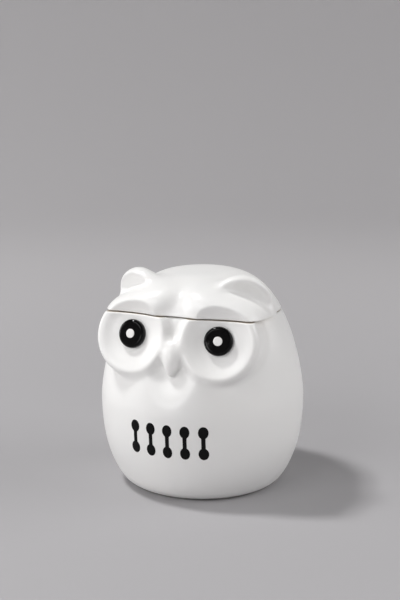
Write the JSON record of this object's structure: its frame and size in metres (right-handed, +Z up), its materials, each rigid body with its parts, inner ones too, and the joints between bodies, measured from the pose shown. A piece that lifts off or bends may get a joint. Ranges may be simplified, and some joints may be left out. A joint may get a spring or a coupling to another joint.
{
  "type": "cotton pad jar",
  "caption": "Egg-shaped glazed ceramic owl jar for cotton pads, with disc eyes, a small beak and a lift-off domed lid with ear tufts.",
  "frame": {"origin": "centre of the foot, on the surface the jar stands on", "axes": "+Z up, the owl's face towards -Y, +X to the viewer's right when looking at the face"},
  "size_m": [0.12, 0.12, 0.1298],
  "materials": {
    "white_glaze_jar": "glossy warm white glaze",
    "white_glaze_lid": "glossy warm white glaze",
    "black_glaze": "glossy black glaze",
    "white_dot": "glossy white glaze"
  },
  "bodies": {
    "jar": {"jar": "white_glaze_jar", "left_pupil": "black_glaze", "right_pupil": "black_glaze", "left_eye_dot": "white_dot", "right_eye_dot": "white_dot"},
    "lid": {"lid": "white_glaze_lid"}
  },
  "joints": [
    {"name": "lid_lift", "type": "slide", "parent": "jar", "child": "lid", "axis": [0, 0, 1], "range_m": [0, 0.08]}
  ]
}
